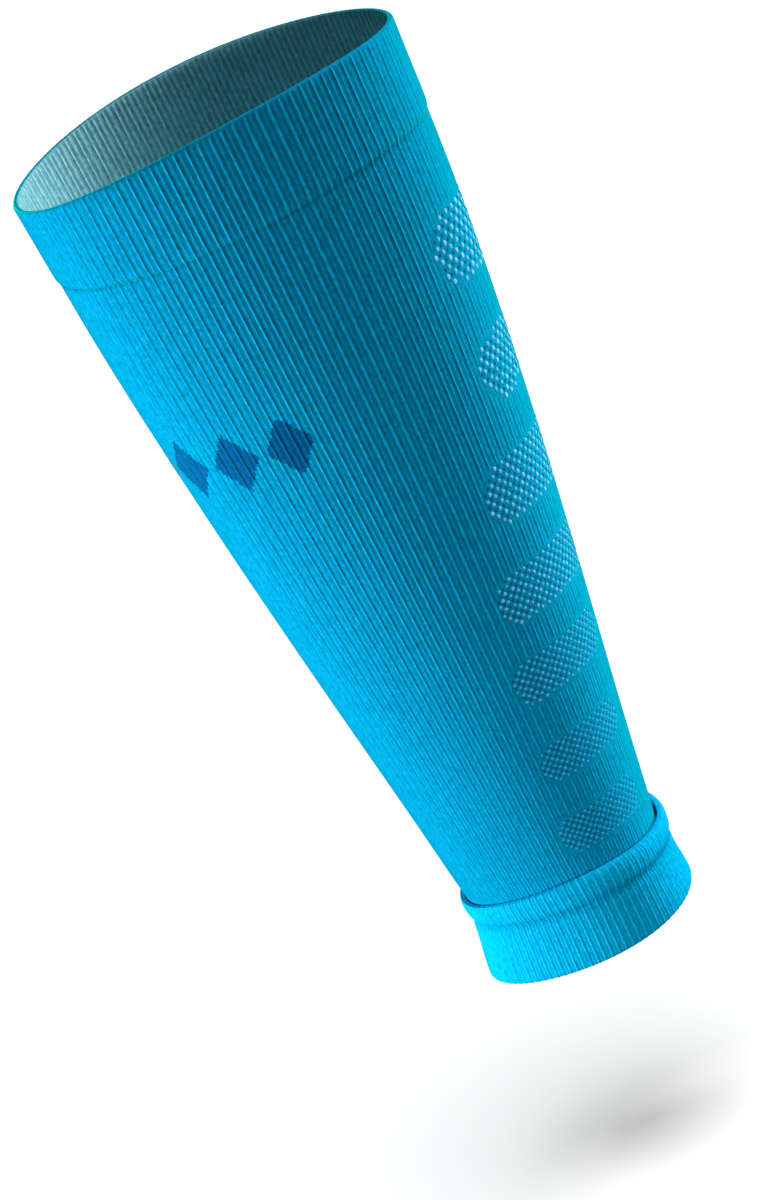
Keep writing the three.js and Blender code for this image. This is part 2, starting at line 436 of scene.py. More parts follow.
class Tree:
    """A node tree under construction, for shapes or for a finish."""

    def __init__(self, tree: bpy.types.NodeTree) -> None:
        """Starts on an empty tree."""
        self.tree = tree
        tree.nodes.clear()

    def node(
        self, kind: str, inputs: dict[str | int, object] | None = None, **settings: object
    ) -> bpy.types.Node:
        """Adds a node.

        Args:
            kind: The node's type.
            inputs: A value or a socket for each input, by name or by number.
            settings: The node's own settings.

        Returns:
            The node.
        """
        made = self.tree.nodes.new(kind)
        for key, value in settings.items():
            setattr(made, key, value)
        for key, value in (inputs or {}).items():
            self.feed(made.inputs[key], value)
        return made

    def feed(self, socket: Socket, value: object) -> None:
        """Links a socket to an input, or sets the input's value."""
        if isinstance(value, Socket):
            self.tree.links.new(value, socket)
        else:
            socket.default_value = value

    def out(self, kind: str, inputs: dict[str | int, object] | None = None, **settings: object) -> Socket:
        """Adds a node, and gives its first output."""
        return self.node(kind, inputs, **settings).outputs[0]

    def math(self, operation: str, *values: object, clamp: bool = False) -> Socket:
        """Adds a sum on one to three numbers, and gives its result."""
        return self.out("ShaderNodeMath", dict(enumerate(values)), operation=operation, use_clamp=clamp)

    def vector(self, operation: str, *values: object) -> Socket:
        """Adds a sum on one or two vectors, and gives its result."""
        made = self.node("ShaderNodeVectorMath", dict(enumerate(values)), operation=operation)
        return made.outputs["Value" if operation in ("LENGTH", "DOT_PRODUCT") else "Vector"]

    def scaled(self, vector: object, factor: object) -> Socket:
        """Adds a vector times a number."""
        return self.out("ShaderNodeVectorMath", {0: vector, "Scale": factor}, operation="SCALE")

    def combine(self, x: object = 0.0, y: object = 0.0, z: object = 0.0) -> Socket:
        """Adds a vector of three numbers."""
        return self.out("ShaderNodeCombineXYZ", {0: x, 1: y, 2: z})

    def split(self, vector: Socket) -> list[Socket]:
        """Adds the three numbers of a vector."""
        return list(self.node("ShaderNodeSeparateXYZ", {0: vector}).outputs)

    def ramp(
        self, value: object, start: object, end: object, low: object = 0.0, high: object = 1.0
    ) -> Socket:
        """Adds a smooth rise from low at start to high at end."""
        inputs = {0: value, 1: start, 2: end, 3: low, 4: high}
        return self.out("ShaderNodeMapRange", inputs, interpolation_type="SMOOTHSTEP")

    def mix_colour(self, factor: object, first: Socket | Colour, second: Socket | Colour) -> Socket:
        """Adds a mix of two colours."""
        made = self.node("ShaderNodeMix", data_type="RGBA")
        for key, value in ((0, factor), (6, first), (7, second)):
            self.feed(made.inputs[key], (*value, 1.0) if isinstance(value, tuple) else value)
        return made.outputs[2]

    def by_ray(self, camera: Socket, others: Socket) -> Socket:
        """Adds a shader that is one thing to the camera and another to all else."""
        seen = self.node("ShaderNodeLightPath").outputs["Is Camera Ray"]
        return self.out("ShaderNodeMixShader", {0: seen, 1: others, 2: camera})


class FinishTree(Tree):
    """The node tree of a new material."""

    def __init__(self, name: str) -> None:
        """Starts a material with an empty tree."""
        self.material = bpy.data.materials.new(name)
        self.material.use_nodes = True
        super().__init__(self.material.node_tree)

    def attribute(self, name: str) -> Socket:
        """Reads a number that is stored on the shape."""
        return self.node("ShaderNodeAttribute", attribute_name=name).outputs["Fac"]

    def bump(self, height: Socket, strength: float, distance: float) -> Socket:
        """Adds a bump, and gives its normal."""
        return self.out("ShaderNodeBump", {"Strength": strength, "Distance": distance, "Height": height})

    def finish(self, shader: Socket) -> Material:
        """Ends the tree in a shader, and gives the material."""
        self.node("ShaderNodeOutputMaterial", {0: shader})
        return self.material


class ShapeTree(Tree):
    """A Geometry Nodes tree with named inputs."""

    KINDS = {float: "NodeSocketFloat", int: "NodeSocketInt", Material: "NodeSocketMaterial"}

    def __init__(self, name: str, sizes: dict[str, object]) -> None:
        """Starts a tree with a geometry input and one input for each size."""
        super().__init__(bpy.data.node_groups.new(name, "GeometryNodeTree"))
        face = self.tree.interface
        face.new_socket("Geometry", in_out="INPUT", socket_type="NodeSocketGeometry")
        face.new_socket("Geometry", in_out="OUTPUT", socket_type="NodeSocketGeometry")
        self.sizes = sizes
        for key, value in sizes.items():
            face.new_socket(key, in_out="INPUT", socket_type=self.KINDS[type(value)])
        self.start = self.node("NodeGroupInput").outputs

    def position(self) -> Socket:
        """Reads each point's place."""
        return self.out("GeometryNodeInputPosition")

    def normal(self) -> Socket:
        """Reads each point's normal."""
        return self.out("GeometryNodeInputNormal")

    def attribute(self, name: str, kind: str = "FLOAT") -> Socket:
        """Reads a stored attribute."""
        return self.out("GeometryNodeInputNamedAttribute", {"Name": name}, data_type=kind)

    def store(
        self, geometry: Socket, name: str, value: object, domain: str = "POINT", kind: str = "FLOAT"
    ) -> Socket:
        """Stores a number or a vector as an attribute.

        Args:
            geometry: What it is stored on.
            name: The attribute's name.
            value: The number or the vector.
            domain: Whether each point or each instance has one.
            kind: FLOAT for a number and FLOAT_VECTOR for a vector.

        Returns:
            The geometry with the attribute.
        """
        inputs = {"Geometry": geometry, "Name": name, "Value": value}
        return self.out("GeometryNodeStoreNamedAttribute", inputs, data_type=kind, domain=domain)

    def compare(self, operation: str, first: object, second: object) -> Socket:
        """Compares two numbers."""
        return self.out("FunctionNodeCompare", {0: first, 1: second}, operation=operation)

    def random(self, low: float, high: float) -> Socket:
        """Draws a number for each element, with the tree's own seed."""
        inputs = {2: low, 3: high, "Seed": self.start["Seed"]}
        return self.node("FunctionNodeRandomValue", inputs, data_type="FLOAT").outputs[1]

    def finish(self, geometry: Socket) -> None:
        """Ends the tree in Realize Instances and Set Material."""
        real = self.out("GeometryNodeRealizeInstances", {0: geometry})
        inputs = {"Geometry": real, "Material": self.start["Material"]}
        self.node("NodeGroupOutput", {0: self.out("GeometryNodeSetMaterial", inputs)})

    def apply(self, shape: Shape) -> None:
        """Runs the tree on an object and bakes the result."""
        modifier = shape.modifiers.new(self.tree.name, "NODES")
        modifier.node_group = self.tree
        for item in self.tree.interface.items_tree:
            if item.in_out == "INPUT" and item.name in self.sizes:
                modifier[item.identifier] = self.sizes[item.name]
        bake(shape)


@dataclass(frozen=True)
class RibKnit:
    """Ribs that stand out of a knitted wall along the leg, with a low wale in each valley.

    The two shares are half the widths of a rib and of a wale, as shares of the ribs' pitch. The
    rates are how fast the unevenness and the wander change along the leg, and rib_step is how
    much they change from rib to rib.
    """

    knit: Knit
    ridge_height: float = 0.25 * MM
    ridge_share: float = 0.16
    wale_height: float = 0.15 * MM
    wale_share: float = 0.16
    unevenness: float = 0.4
    uneven_rate: float = 260.0
    wander: float = 0.12
    wander_rate: float = 30.0
    rib_step: float = 3.7
    seed: int = 7

    def apply(self, shape: Shape, material: Material) -> None:
        """Raises the ribs on a shell and gives it its finish.

        Args:
            shape: A shell with the attributes share, relief and inner.
            material: The knit's finish.
        """
        tree = ShapeTree(
            f"{shape.name} ribs",
            {
                "Rib Count": self.knit.rib_count,
                "Ridge Height": self.ridge_height,
                "Ridge Share": self.ridge_share,
                "Wale Height": self.wale_height,
                "Wale Share": self.wale_share,
                "Unevenness": self.unevenness,
                "Uneven Rate": self.uneven_rate,
                "Wander": self.wander,
                "Wander Rate": self.wander_rate,
                "Rib Step": self.rib_step,
                "Seed": self.seed,
                "Material": material,
            },
        )
        size = tree.start
        place = tree.math("MULTIPLY", tree.attribute("share"), size["Rib Count"])
        slow, quick = (self.noise(tree, place, size[rate]) for rate in ("Wander Rate", "Uneven Rate"))
        shift = tree.math("MULTIPLY", tree.math("SUBTRACT", slow, 0.5), size["Wander"])
        turned = tree.math("ADD", place, shift)
        turned = tree.math("MULTIPLY", turned, tree.math("ADD", tree.attribute("inner"), 1.0))
        off = tree.math("ABSOLUTE", tree.math("SUBTRACT", turned, tree.math("ROUND", turned)))
        ridge = tree.ramp(off, 0.0, size["Ridge Share"], 1.0, 0.0)
        wale = tree.ramp(tree.math("SUBTRACT", 0.5, off), 0.0, size["Wale Share"], 1.0, 0.0)
        uneven = tree.math("MULTIPLY_ADD", tree.math("SUBTRACT", quick, 0.5), size["Unevenness"], 1.0)
        height = tree.math("MULTIPLY", tree.math("MULTIPLY", ridge, uneven), size["Ridge Height"])
        height = tree.math("MULTIPLY_ADD", wale, size["Wale Height"], height)
        height = tree.math("MULTIPLY", height, tree.attribute("relief"))
        inputs = {"Geometry": size["Geometry"], "Offset": tree.scaled(tree.normal(), height)}
        tree.finish(tree.store(tree.out("GeometryNodeSetPosition", inputs), "shift", shift))
        tree.apply(shape)

    def noise(self, tree: ShapeTree, place: Socket, rate: Socket) -> Socket:
        """Draws a number that changes smoothly along each rib, and from rib to rib.

        Args:
            tree: The ribs' tree.
            place: How many ribs round the leg a point is.
            rate: How fast the number changes along the leg.

        Returns:
            The number, from 0 to 1.
        """
        size = tree.start
        row = tree.math("MULTIPLY", tree.math("ROUND", place), size["Rib Step"])
        along = tree.math("MULTIPLY", tree.split(tree.position())[2], rate)
        inputs = {"Vector": tree.combine(row, along), "W": size["Seed"], "Scale": 1.0, "Detail": 1.0}
        return tree.out("ShaderNodeTexNoise", inputs, noise_dimensions="4D")


@dataclass(frozen=True)
class VentNet:
    """The open net of a vent: zigzag yarns and a staggered field of pale stitches.

    Widths are shares of a wale's width and lengths are shares of the pitch along it. sizes and
    tones are how much the stitches vary, and upright_over is how steep a lattice line has to be
    to be left out of the zigzags.
    """

    knit: Knit
    stitch_width: float = 0.82
    stitch_length: float = 0.38
    stitch_rise: float = 0.20 * MM
    least_plump: float = 0.7
    sizes: tuple[float, float] = (0.88, 1.08)
    tones: tuple[float, float] = (0.6, 1.0)
    hole_width: float = 0.56
    hole_length: float = 0.30
    hole_lift: float = 0.03 * MM
    hole_sides: int = 10
    yarn_width: float = 0.36
    yarn_sunk: float = 0.70
    yarn_sides: int = 8
    upright_over: float = 0.985
    margin: float = 0.35 * MM
    scatter: float = 0.12
    probe: float = 0.3 * MM
    seed: int = 23

    def apply(
        self, shape: Shape, form: LegForm, vent: Vent, tall: float, material: Material
    ) -> None:
        """Replaces a vent's panel by the net that lies on it.

        Args:
            shape: A copy of the vent's panel.
            form: The leg's form.
            vent: The vent.
            tall: The tallest vent's height.
            material: The yarn's finish.
        """
        middle = vent.rise * form.length
        girth = form.girth_at(middle)
        radius = vent.height * tall / 2
        column = 1 / self.knit.wale_count
        wale = girth * column
        plump = self.least_plump + (1 - self.least_plump) * vent.paleness
        tree = ShapeTree(
            f"{shape.name} net",
            {
                "Columns": 2 * math.ceil((vent.front - vent.rear) / column / 2) + 1,
                "Rows": 2 * math.ceil(radius / vent.pitch) + 3,
                "Column Pitch": column,
                "Row Pitch": vent.pitch,
                "Middle Share": round((vent.rear + vent.front) / 2 / column) * column,
                "Middle Height": middle,
                "Girth": girth,
                "Straight Half": (vent.front - vent.rear) * girth / 2 - radius,
                "Round Radius": radius - self.margin,
                "Stitch Width": self.stitch_width * wale * plump,
                "Stitch Length": self.stitch_length * vent.pitch * plump,
                "Stitch Rise": self.stitch_rise * plump,
                "Hole Width": self.hole_width * wale,
                "Hole Length": self.hole_length * vent.pitch,
                "Hole Lift": self.hole_lift,
                "Paleness": vent.paleness,
                "Yarn Radius": self.yarn_width * wale / 2,
                "Yarn Sunk": self.yarn_sunk,
                "Scatter": self.scatter,
                "Seed": self.seed,
                "Material": material,
            },
        )
        places = self.kept(tree, self.lattice(tree))
        tree.finish(self.stitches(tree, *self.laid(tree, places)))
        tree.apply(shape)

    def lattice(self, tree: ShapeTree) -> Socket:
        """Makes the staggered lattice, with shares across and heights up."""
        size = tree.start
        columns, rows = (tree.math("SUBTRACT", size[key], 1.0) for key in ("Columns", "Rows"))
        grid = tree.out(
            "GeometryNodeMeshGrid",
            {
                "Size X": tree.math("MULTIPLY", columns, size["Column Pitch"]),
                "Size Y": tree.math("MULTIPLY", rows, size["Row Pitch"]),
                "Vertices X": size["Columns"],
                "Vertices Y": size["Rows"],
            },
        )
        across = tree.split(tree.position())[0]
        column = tree.math("ROUND", tree.math("DIVIDE", across, size["Column Pitch"]))
        odd = tree.math("SUBTRACT", tree.math("PINGPONG", column, 1.0), 0.5)
        shift = tree.math("MULTIPLY", odd, tree.math("MULTIPLY", size["Row Pitch"], 0.5))
        stray = tree.math("MULTIPLY", tree.random(-0.5, 0.5), size["Scatter"])
        shift = tree.math("MULTIPLY_ADD", stray, size["Row Pitch"], shift)
        return tree.out("GeometryNodeSetPosition", {"Geometry": grid, "Offset": tree.combine(0.0, shift)})

    def kept(self, tree: ShapeTree, lattice: Socket) -> Socket:
        """Keeps what lies inside the vent's capsule."""
        size = tree.start
        across, up, _ = tree.split(tree.position())
        across = tree.math("ABSOLUTE", tree.math("MULTIPLY", across, size["Girth"]))
        past = tree.math("MAXIMUM", tree.math("SUBTRACT", across, size["Straight Half"]), 0.0)
        reach = tree.vector("LENGTH", tree.combine(past, up))
        outside = tree.compare("GREATER_THAN", reach, size["Round Radius"])
        above = tree.math("MULTIPLY_ADD", size["Row Pitch"], 0.5, up)
        lattice = tree.store(lattice, "above", tree.vector("LENGTH", tree.combine(past, above)))
        return tree.out("GeometryNodeDeleteGeometry", {"Geometry": lattice, "Selection": outside})

    def laid(self, tree: ShapeTree, places: Socket) -> tuple[Socket, Socket]:
        """Lays the lattice on the panel's outer face, and finds how each stitch is turned there."""
        size = tree.start
        uv = tree.attribute(UV_NAME, "FLOAT_VECTOR")
        position = tree.position()
        here = tree.vector("ADD", position, tree.combine(size["Middle Share"], size["Middle Height"]))
        above = tree.vector("ADD", here, tree.combine(0.0, self.probe))

        def read(value: Socket, spot: Socket) -> Socket:
            """Reads a value of the panel at a place on the cloth."""
            inputs = {"Mesh": size["Geometry"], "Value": value, "UV Map": uv, "Sample UV": spot}
            return tree.out("GeometryNodeSampleUVSurface", inputs, data_type="FLOAT_VECTOR")

        spot = read(position, here)
        kept = tree.store(places, "out", read(tree.normal(), here), kind="FLOAT_VECTOR")
        up = tree.vector("SUBTRACT", read(position, above), spot)
        kept = tree.store(kept, "up", up, kind="FLOAT_VECTOR")
        placed = tree.out("GeometryNodeSetPosition", {"Geometry": kept, "Position": spot})
        align = "FunctionNodeAlignRotationToVector"
        stand = tree.out(align, {"Vector": tree.attribute("out", "FLOAT_VECTOR")}, axis="Z")
        inputs = {"Rotation": stand, "Vector": tree.attribute("up", "FLOAT_VECTOR")}
        return placed, tree.out(align, inputs, axis="Y", pivot_axis="Z")

    def stitches(self, tree: ShapeTree, points: Socket, turn: Socket) -> Socket:
        """Makes the dark discs of painted shade in the loops' eyelets, the zigzag yarns and a stitch on
        each point.
        """
        size = tree.start
        bead = tree.out("GeometryNodeMeshIcoSphere", {"Radius": 0.5, "Subdivisions": 2})
        rise = tree.math("MULTIPLY", size["Stitch Rise"], 2.0)
        even = tree.combine(size["Stitch Width"], size["Stitch Length"], rise)
        scale = tree.scaled(even, tree.random(*self.sizes))
        inputs = {"Points": points, "Instance": bead, "Rotation": turn, "Scale": scale}
        beads = tree.out("GeometryNodeInstanceOnPoints", inputs)
        tone = tree.math("MULTIPLY", tree.random(*self.tones), size["Paleness"])
        beads = tree.store(beads, "tone", tone, "INSTANCE")
        yarns = tree.store(self.zigzag(tree, points), "tone", 0.0)
        joined = tree.node("GeometryNodeJoinGeometry")
        for part in (self.shaded_eyes(tree, points, turn), yarns, beads):
            tree.feed(joined.inputs[0], part)
        real = tree.out("GeometryNodeRealizeInstances", {0: joined.outputs[0]})
        return tree.out("GeometryNodeSetShadeSmooth", {"Geometry": real})

    def shaded_eyes(self, tree: ShapeTree, points: Socket, turn: Socket) -> Socket:
        """Sets a dark disc of painted shade in each loop's eyelet, half way to the next stitch of its
        wale.
        """
        size = tree.start
        ring = {"Vertices": self.hole_sides, "Radius": 0.5}
        eye_shade = tree.out("GeometryNodeMeshCircle", ring, fill_type="TRIANGLE_FAN")
        scale = tree.combine(size["Hole Width"], size["Hole Length"], 1.0)
        inside = tree.compare("LESS_THAN", tree.attribute("above"), size["Round Radius"])
        inputs = {"Points": points, "Selection": inside, "Instance": eye_shade, "Rotation": turn, "Scale": scale}
        eye_discs = tree.out("GeometryNodeInstanceOnPoints", inputs)
        half = tree.math("DIVIDE", tree.math("MULTIPLY", size["Row Pitch"], 0.5), size["Hole Length"])
        step = {"Instances": eye_discs, "Translation": tree.combine(0.0, half, size["Hole Lift"])}
        # Tone -1 gives the discs the dark colour of painted shade.
        return tree.store(tree.out("GeometryNodeTranslateInstances", step), "tone", -1.0, "INSTANCE")

    def zigzag(self, tree: ShapeTree, points: Socket) -> Socket:
        """Makes a thin yarn along each zigzag from column to column."""
        size = tree.start
        ends = tree.node("GeometryNodeInputMeshEdgeVertices")
        along = tree.vector("NORMALIZE", tree.vector("SUBTRACT", ends.outputs[3], ends.outputs[2]))
        wale = tree.vector("NORMALIZE", tree.attribute("up", "FLOAT_VECTOR"))
        steep = tree.math("ABSOLUTE", tree.vector("DOT_PRODUCT", along, wale))
        upright = {"Geometry": points, "Selection": tree.compare("GREATER_THAN", steep, self.upright_over)}
        lines = tree.out("GeometryNodeDeleteGeometry", upright, domain="EDGE", mode="EDGE_FACE")
        depth = tree.math("MULTIPLY", size["Yarn Radius"], tree.math("MULTIPLY", size["Yarn Sunk"], -1.0))
        inwards = tree.scaled(tree.attribute("out", "FLOAT_VECTOR"), depth)
        sunk = tree.out("GeometryNodeSetPosition", {"Geometry": lines, "Offset": inwards})
        ring = {"Resolution": self.yarn_sides, "Radius": size["Yarn Radius"]}
        inputs = {
            "Curve": tree.out("GeometryNodeMeshToCurve", {0: sunk}),
            "Profile Curve": tree.out("GeometryNodeCurvePrimitiveCircle", ring),
            "Fill Caps": True,
        }
        return tree.out("GeometryNodeCurveToMesh", inputs)


@dataclass(frozen=True)
class Motif:
    """A row of plain lozenges knitted in over the shin, stepped as the stitches are."""

    colour: Colour = (0.0014, 0.058, 0.220)
    middle_height: float = 210.5 * MM
    middle_share: float = 0.5
    half_height: float = 11.0 * MM
    half_share: float = 0.026
    pitch_share: float = 0.062
    cover: float = 0.93
    count: int = 7
    step_share: float = 1 / 336
    step_height: float = 1.0 * MM

    def mask(self, tree: Tree, u: Socket, v: Socket) -> Socket:
        """Makes 1 inside the lozenges and 0 outside them."""
        across = tree.math("SUBTRACT", tree.math("SNAP", u, self.step_share), self.middle_share)
        up = tree.math("SUBTRACT", tree.math("SNAP", v, self.step_height), self.middle_height)
        number = tree.math("ROUND", tree.math("DIVIDE", across, self.pitch_share))
        local = tree.math("SUBTRACT", across, tree.math("MULTIPLY", number, self.pitch_share))
        width = tree.math("DIVIDE", tree.math("ABSOLUTE", local), self.half_share)
        height = tree.math("DIVIDE", tree.math("ABSOLUTE", up), self.half_height)
        inside = tree.math("LESS_THAN", tree.math("ADD", width, height), 1.0)
        near = tree.math("LESS_THAN", tree.math("ABSOLUTE", number), self.count / 2)
        return tree.math("MULTIPLY", inside, near)


@dataclass(frozen=True)
class KnitFinish:
    """A rib knit: thin crests paler than the valleys, partly the yarn's own colour and partly painted
    highlight and painted shade, a strip of painted shade beside each crest, a low wale between, and
    stitches.
    """

    name: str
    # valley and crest, inside and inside_crest: yarn colours that also carry painted shade in the valleys
    # and painted highlight on the crests.
    valley: Colour = (0.0008, 0.224, 0.440)
    crest: Colour = (0.0012, 0.290, 0.555)
    inside: Colour = (0.185, 0.480, 0.570)
    inside_crest: Colour = (0.460, 0.820, 0.910)
    rib_count: int = 84
    ridge_share: float = 0.15
    # Where the strip of painted shade beside each crest lies, as shares of the pitch, and how dark it is.
    groove_shade_shares: tuple[float, float, float] = (0.10, 0.20, 0.32)
    groove_shade_depth: float = 0.22
    wale_share: float = 0.15
    wale_tone: float = 0.65
    inner_shares: tuple[float, float] = (0.02, 0.22)
    stitches_round: int = 504
    course: float = 1.15 * MM
    fleck: float = 0.38
    # A band of painted shade round the cloth at one height: where it lies, how wide it is and how dark.
    painted_shade_height: float | None = None
    painted_shade_width: float = 1.6 * MM
    painted_shade_depth: float = 0.22
    motif: Motif | None = None
    # How much painted shade darkens the hollows between the stitch legs.
    stitch_shade: float = 0.16
    bump_parts: tuple[float, float, float] = (0.7, 0.3, 0.2)
    bump_strength: float = 0.5
    bump_distance: float = 0.25 * MM
    roughness: float = 0.85
    sheen: float = 0.85
    sheen_roughness: float = 0.45
    sheen_tint: Colour = (0.0, 1.0, 0.78)

    def material(self) -> Material:
        """Builds the finish."""
        tree = FinishTree(self.name)
        u, v, _ = tree.split(tree.out("ShaderNodeUVMap", uv_map=UV_NAME))
        inner = tree.attribute("inner")
        crest, groove_shade, wale = self.ribs(tree, u, inner)
        relief, fleck = self.stitches(tree, u, v)
        # The crests' paler colour and the valleys' darker one: partly the yarn's own colours, partly
        # painted highlight on the crests and painted shade in the valleys, on the inner face too.
        raised = tree.math("MULTIPLY_ADD", wale, self.wale_tone, crest, clamp=True)
        colour = tree.mix_colour(raised, self.valley, self.crest)
        if self.motif:
            cover = tree.math("MULTIPLY", self.motif.mask(tree, u, v), self.motif.cover)
            colour = tree.mix_colour(cover, colour, self.motif.colour)
        within = tree.mix_colour(raised, self.inside, self.inside_crest)
        colour = tree.mix_colour(inner, colour, within)
        colour = tree.scaled(colour, self.shade(tree, v, groove_shade, relief, fleck))
        from_ribs, from_stitches, from_flecks = self.bump_parts
        height = tree.math("MULTIPLY_ADD", raised, from_ribs, tree.math("MULTIPLY", relief, from_stitches))
        height = tree.math("MULTIPLY_ADD", fleck, from_flecks, height)
        return tree.finish(
            tree.out(
                "ShaderNodeBsdfPrincipled",
                {
                    "Base Color": colour,
                    "Roughness": self.roughness,
                    "Specular IOR Level": 0.0,
                    "Sheen Weight": self.sheen,
                    "Sheen Roughness": self.sheen_roughness,
                    "Sheen Tint": (*self.sheen_tint, 1.0),
                    "Normal": tree.bump(height, self.bump_strength, self.bump_distance),
                },
            )
        )

    def shade(self, tree: FinishTree, v: Socket, groove_shade: Socket, relief: Socket, fleck: Socket) -> Socket:
        """Finds how much darker or paler each place is than its colour: a random tone for each stitch, and
        painted shade beside the crests, in the hollows between the stitch legs and, where set, along a
        band at one height.

        Args:
            tree: The finish's tree.
            v: Height on the cloth.
            groove_shade: The painted shade beside each rib.
            relief: The stitches' relief.
            fleck: A random number for each stitch.

        Returns:
            A factor for the colour.
        """
        shade = tree.math("MULTIPLY_ADD", tree.math("SUBTRACT", fleck, 0.5), self.fleck, 1.0)
        # Painted shade beside each crest.
        shade = tree.math("MULTIPLY", shade, tree.math("MULTIPLY_ADD", groove_shade, -self.groove_shade_depth, 1.0))
        # Painted shade in the hollows between the stitch legs, following the stitches' relief.
        lowest = 1 - self.stitch_shade / 2
        shade = tree.math("MULTIPLY", shade, tree.math("MULTIPLY_ADD", relief, self.stitch_shade, lowest))
        if self.painted_shade_height is None:
            return shade
        # Painted shade: a soft dark band round the cloth at one height.
        away = tree.math("ABSOLUTE", tree.math("SUBTRACT", v, self.painted_shade_height))
        painted_shade = tree.ramp(away, 0.2 * self.painted_shade_width, self.painted_shade_width, 1 - self.painted_shade_depth, 1.0)
        return tree.math("MULTIPLY", shade, painted_shade)

    def ribs(self, tree: FinishTree, u: Socket, inner: Socket) -> tuple[Socket, ...]:
        """Finds the ribs' lines, where the shape has them.

        Args:
            tree: The finish's tree.
            u: Share of the girth.
            inner: 1 on the inner face, whose crests are twice as many.

        Returns:
            The crest, the painted shade beside it and the low wale, each from 0 to 1.
        """
        relief = tree.attribute("relief")
        place = tree.math("MULTIPLY_ADD", u, float(self.rib_count), tree.attribute("shift"))
        off = tree.math("PINGPONG", place, 0.5)
        crest = tree.ramp(off, 0.0, self.ridge_share, 1.0, 0.0)
        # Painted shade: a dark strip beside each crest, where a rib's flank falls in shade.
        near, middle, far = self.groove_shade_shares
        groove_shade = tree.math("MULTIPLY", tree.ramp(off, near, middle), tree.ramp(off, middle, far, 1.0, 0.0))
        wale = tree.ramp(tree.math("SUBTRACT", 0.5, off), 0.0, self.wale_share, 1.0, 0.0)
        within = tree.ramp(tree.math("PINGPONG", place, 0.25), *self.inner_shares, 1.0, 0.0)
        outer = tree.math("SUBTRACT", 1.0, inner)
        crest = tree.math("MULTIPLY_ADD", within, inner, tree.math("MULTIPLY", crest, outer))
        groove_shade = tree.math("MULTIPLY", groove_shade, outer)
        wale = tree.math("MULTIPLY", wale, outer)
        return tuple(tree.math("MULTIPLY", line, relief) for line in (crest, groove_shade, wale))

    def stitches(self, tree: FinishTree, u: Socket, v: Socket) -> tuple[Socket, Socket]:
        """Makes the stitches' relief and their flecks.

        Args:
            tree: The finish's tree.
            u: Share of the girth.
            v: Height on the cloth.

        Returns:
            The relief, from 0 to 1, and a random number for each stitch.
        """
        wale = tree.math("MULTIPLY", u, float(self.stitches_round))
        course = tree.math("DIVIDE", v, self.course)
        leg = tree.math("ABSOLUTE", tree.math("SUBTRACT", tree.math("FRACT", wale), 0.5))
        slanted = tree.math("ADD", course, leg)
        wave = tree.math("SINE", tree.math("MULTIPLY", slanted, 2 * math.pi))
        round_leg = tree.math("PINGPONG", tree.math("MULTIPLY", leg, 2.0), 0.5)
        relief = tree.math("MULTIPLY_ADD", wave, 0.25, tree.math("ADD", round_leg, 0.35))
        cell = tree.combine(tree.math("FLOOR", wale), tree.math("FLOOR", slanted))
        return relief, tree.out("ShaderNodeTexWhiteNoise", {"Vector": cell}, noise_dimensions="2D")


@dataclass(frozen=True)
class YarnFinish:
    """The vents' yarn: pale stitches with a hint of lavender on a net of the knit's own colour, and dark
    discs of painted shade in the loops' eyelets.
    """

    name: str
    pale: Colour = (0.22, 0.58, 0.88)
    dull: Colour = (0.002, 0.290, 0.520)
    # The painted shade seen in each loop's eyelet.
    eye_shade: Colour = (0.0003, 0.112, 0.270)
    roughness: float = 0.8
    twist_scale: float = 900.0
    twist_wobble: float = 1.5
    bump_strength: float = 0.3
    bump_distance: float = 0.05 * MM

    def material(self) -> Material:
        """Builds the finish."""
        tree = FinishTree(self.name)
        tone = tree.attribute("tone")
        colour = tree.mix_colour(tree.math("MULTIPLY", tone, 1.0, clamp=True), self.dull, self.pale)
        # Tone -1 paints the eyelet discs in painted shade.
        colour = tree.mix_colour(tree.math("MULTIPLY", tone, -1.0, clamp=True), colour, self.eye_shade)
        place = tree.node("ShaderNodeTexCoord").outputs["Object"]
        wave = {"Vector": place, "Scale": self.twist_scale, "Distortion": self.twist_wobble}
        twist = tree.node("ShaderNodeTexWave", wave).outputs["Fac"]
        inputs = {
            "Base Color": colour,
            "Roughness": self.roughness,
            "Specular IOR Level": 0.0,
            "Normal": tree.bump(twist, self.bump_strength, self.bump_distance),
        }
        return tree.finish(tree.out("ShaderNodeBsdfPrincipled", inputs))


def dress(piece: Shape, node: str) -> None:
    """Says that a piece stands for a node, by hiding the node's solid, and what it rides on."""
    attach(piece, BODY)
    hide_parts(node)


